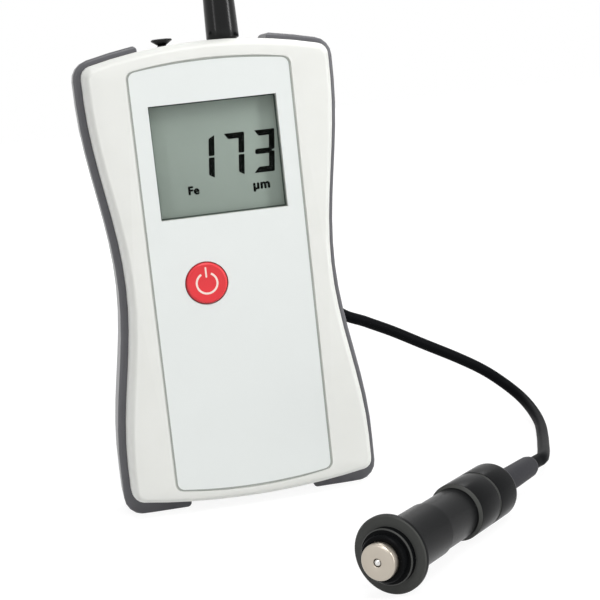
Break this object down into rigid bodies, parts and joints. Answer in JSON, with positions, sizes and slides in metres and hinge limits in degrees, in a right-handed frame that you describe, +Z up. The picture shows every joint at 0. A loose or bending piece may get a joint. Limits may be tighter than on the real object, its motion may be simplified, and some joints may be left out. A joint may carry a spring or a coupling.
{
  "type": "coating thickness gauge",
  "caption": "Handheld coating thickness gauge: waisted white housing with soft side grips, display window, round power key and a spring-loaded measuring probe on a lead.",
  "frame": {"origin": "on the table, under the middle of the housing's width and depth", "axes": "+X to the right seen from the front, +Y to the back, +Z up"},
  "size_m": [0.1215, 0.1373, 0.1719],
  "materials": {
    "white_abs": "fine satin moulding",
    "grip_rubber": "matt soft-touch",
    "printed_foil": "satin film",
    "clear_acrylic": "clear polished",
    "display_glass": "grey-green reflective display",
    "strip_rubber": "plain",
    "board_laminate": "solder mask",
    "dark_plastic": "plain moulding",
    "spring_steel": "bright",
    "red_plastic": "satin gloss",
    "cell_jacket": "plain jacket",
    "black_rubber": "smooth",
    "lead_jacket": "smooth round jacket",
    "black_plastic": "satin",
    "copper_wire": "wound enamelled wire",
    "nickel_plate": "nickel plated"
  },
  "bodies": {
    "gauge": {"front_shell": "white_abs", "rear_shell": "white_abs", "grip_left": "grip_rubber", "grip_right": "grip_rubber", "front_foil": "printed_foil", "display_window": "clear_acrylic", "lcd_frame": "dark_plastic", "lcd_glass": "display_glass", "zebra_strips": "strip_rubber", "main_board": "board_laminate", "snap_dome": "spring_steel", "buzzer": "dark_plastic", "battery_cells": "cell_jacket", "battery_contacts": "spring_steel", "housing_screws": "spring_steel", "data_socket": "dark_plastic", "cable_boot": "black_rubber", "probe_lead": "lead_jacket", "probe_boot": "black_rubber", "probe_barrel": "black_plastic", "probe_ring": "black_plastic", "probe_sleeve": "black_plastic", "sensor_spring": "spring_steel"},
    "key": {"power_key": "red_plastic"},
    "cover": {"battery_cover": "white_abs"},
    "plug": {"dust_plug": "black_rubber"},
    "sensor": {"sensor_holder": "dark_plastic", "sensor_coil": "copper_wire", "sensor_pole": "nickel_plate", "sensor_tip": "nickel_plate"}
  },
  "joints": [
    {"name": "key_press", "type": "slide", "parent": "gauge", "child": "key", "axis": [0, 1, 0], "range_m": [0, 0.00045], "stiffness_N_per_m": 2500, "springref_m": -0.0003},
    {"name": "cover_slide", "type": "slide", "parent": "gauge", "child": "cover", "axis": [0, 0, -1], "range_m": [0, 0.004]},
    {"name": "plug_pull", "type": "slide", "parent": "gauge", "child": "plug", "axis": [0, 0, 1], "range_m": [0, 0.004]},
    {"name": "sensor_press", "type": "slide", "parent": "gauge", "child": "sensor", "axis": [0.6686, 0.7426, -0.0383], "range_m": [0, 0.002], "stiffness_N_per_m": 400, "springref_m": -0.002, "deforming": ["sensor_spring"]}
  ]
}
